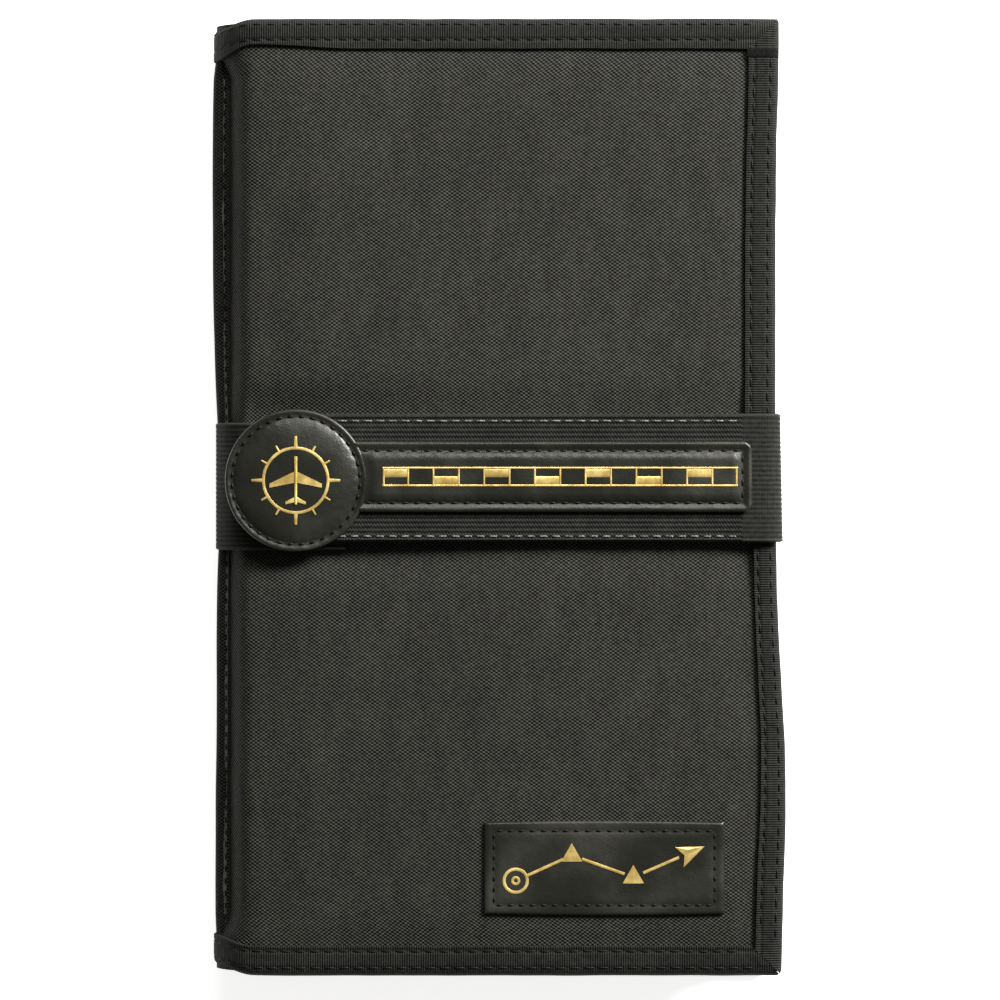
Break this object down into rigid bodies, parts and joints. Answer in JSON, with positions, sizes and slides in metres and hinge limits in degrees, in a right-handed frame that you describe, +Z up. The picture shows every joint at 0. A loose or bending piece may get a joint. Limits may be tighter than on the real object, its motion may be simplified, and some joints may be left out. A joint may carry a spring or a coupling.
{
  "type": "flight chart organizer",
  "caption": "Bi-fold padded nylon chart case with a closing elastic strap, round badge, long tag, front patch and clear inner chart sleeves.",
  "frame": {"origin": "centre of the closed case's box at the surface it lies on", "axes": "+Z up out of the front cover, +Y to the top of the cover, -X to the spine"},
  "size_m": [0.156, 0.265, 0.0273],
  "materials": {
    "nylon": "matt ballistic weave",
    "binding_tape": "ribbed grosgrain",
    "elastic": "ribbed elastic",
    "foam": "open foam",
    "stiffener": "matt",
    "lining": "coated cloth",
    "leather": "satin",
    "hook_and_loop": "napped",
    "clear_vinyl": "clear film",
    "weld": "satin",
    "gilt": "polished"
  },
  "bodies": {
    "back_cover": {"back_skin": "nylon", "back_foam": "foam", "back_board": "stiffener", "back_lining": "lining", "back_pocket": "lining", "back_binding_top": "binding_tape", "back_binding_bottom": "binding_tape", "back_binding_fore": "binding_tape", "strap_back_band": "elastic"},
    "spine": {"spine_skin": "nylon", "spine_board": "stiffener", "spine_lining": "lining", "spine_binding_top": "binding_tape", "spine_binding_bottom": "binding_tape", "sleeve_bar": "binding_tape", "strap_spine_band": "elastic"},
    "front_cover": {"front_skin": "nylon", "front_foam": "foam", "front_board": "stiffener", "front_lining": "lining", "front_pocket": "lining", "front_binding_top": "binding_tape", "front_binding_bottom": "binding_tape", "front_binding_fore": "binding_tape", "strap_front_end": "elastic", "strap_loop_tape": "hook_and_loop", "name_patch": "leather", "patch_emblem": "gilt"},
    "strap_edge": {"strap_wrap": "elastic"},
    "strap_flap": {"strap_arm": "elastic", "strap_facing": "elastic", "strap_hook_tape": "hook_and_loop", "tag_base": "leather", "tag_pad": "leather", "tag_emblem": "gilt", "disc_base": "leather", "disc_pad": "leather", "disc_emblem": "gilt"},
    "sleeve_1": {"sleeve_1_back": "clear_vinyl", "sleeve_1_weld": "weld", "sleeve_1_window": "clear_vinyl"},
    "sleeve_2": {"sleeve_2_back": "clear_vinyl", "sleeve_2_weld": "weld", "sleeve_2_window": "clear_vinyl"},
    "sleeve_3": {"sleeve_3_back": "clear_vinyl", "sleeve_3_weld": "weld", "sleeve_3_window": "clear_vinyl"},
    "sleeve_4": {"sleeve_4_back": "clear_vinyl", "sleeve_4_weld": "weld", "sleeve_4_window": "clear_vinyl"},
    "sleeve_5": {"sleeve_5_back": "clear_vinyl", "sleeve_5_weld": "weld", "sleeve_5_window": "clear_vinyl"}
  },
  "joints": [
    {"name": "spine_fold", "type": "hinge", "parent": "back_cover", "child": "spine", "pos_m": [-0.0772, 0, 0.0008], "axis": [0, -1, 0], "range_deg": [0, 90]},
    {"name": "cover_fold", "type": "hinge", "parent": "spine", "child": "front_cover", "pos_m": [-0.0772, 0, 0.0209], "axis": [0, -1, 0], "range_deg": [0, 88]},
    {"name": "strap_edge_fold", "type": "hinge", "parent": "back_cover", "child": "strap_edge", "pos_m": [0.0771, 0.0053, 0.0009], "axis": [0, 1, 0], "range_deg": [0, 86], "deforming": ["strap_wrap"]},
    {"name": "strap_flap_fold", "type": "hinge", "parent": "strap_edge", "child": "strap_flap", "pos_m": [0.0771, 0.0053, 0.02275], "axis": [0, 1, 0], "range_deg": [0, 90], "deforming": ["strap_arm", "strap_facing", "strap_hook_tape", "tag_base", "tag_pad", "tag_emblem", "disc_base", "disc_pad", "disc_emblem"]},
    {"name": "sleeve_1_turn", "type": "hinge", "parent": "spine", "child": "sleeve_1", "pos_m": [-0.072, 0, 0.0057], "axis": [0, -1, 0], "range_deg": [-86, 0]},
    {"name": "sleeve_2_turn", "type": "hinge", "parent": "spine", "child": "sleeve_2", "pos_m": [-0.072, 0, 0.0079], "axis": [0, -1, 0], "range_deg": [-74, 0]},
    {"name": "sleeve_3_turn", "type": "hinge", "parent": "spine", "child": "sleeve_3", "pos_m": [-0.072, 0, 0.0101], "axis": [0, -1, 0], "range_deg": [-62, 0]},
    {"name": "sleeve_4_turn", "type": "hinge", "parent": "spine", "child": "sleeve_4", "pos_m": [-0.072, 0, 0.0123], "axis": [0, -1, 0], "range_deg": [0, 72]},
    {"name": "sleeve_5_turn", "type": "hinge", "parent": "spine", "child": "sleeve_5", "pos_m": [-0.072, 0, 0.0145], "axis": [0, -1, 0], "range_deg": [0, 82]}
  ],
  "couplings": [
    {"joint": "cover_fold", "follows": "spine_fold", "ratio": 0.97777},
    {"joint": "strap_edge_fold", "follows": "spine_fold", "ratio": 0.95555},
    {"joint": "strap_flap_fold", "follows": "spine_fold", "ratio": 1},
    {"joint": "sleeve_1_turn", "follows": "spine_fold", "ratio": -0.95555},
    {"joint": "sleeve_2_turn", "follows": "spine_fold", "ratio": -0.82221},
    {"joint": "sleeve_3_turn", "follows": "spine_fold", "ratio": -0.68888},
    {"joint": "sleeve_4_turn", "follows": "spine_fold", "ratio": 0.79999},
    {"joint": "sleeve_5_turn", "follows": "spine_fold", "ratio": 0.9111}
  ]
}
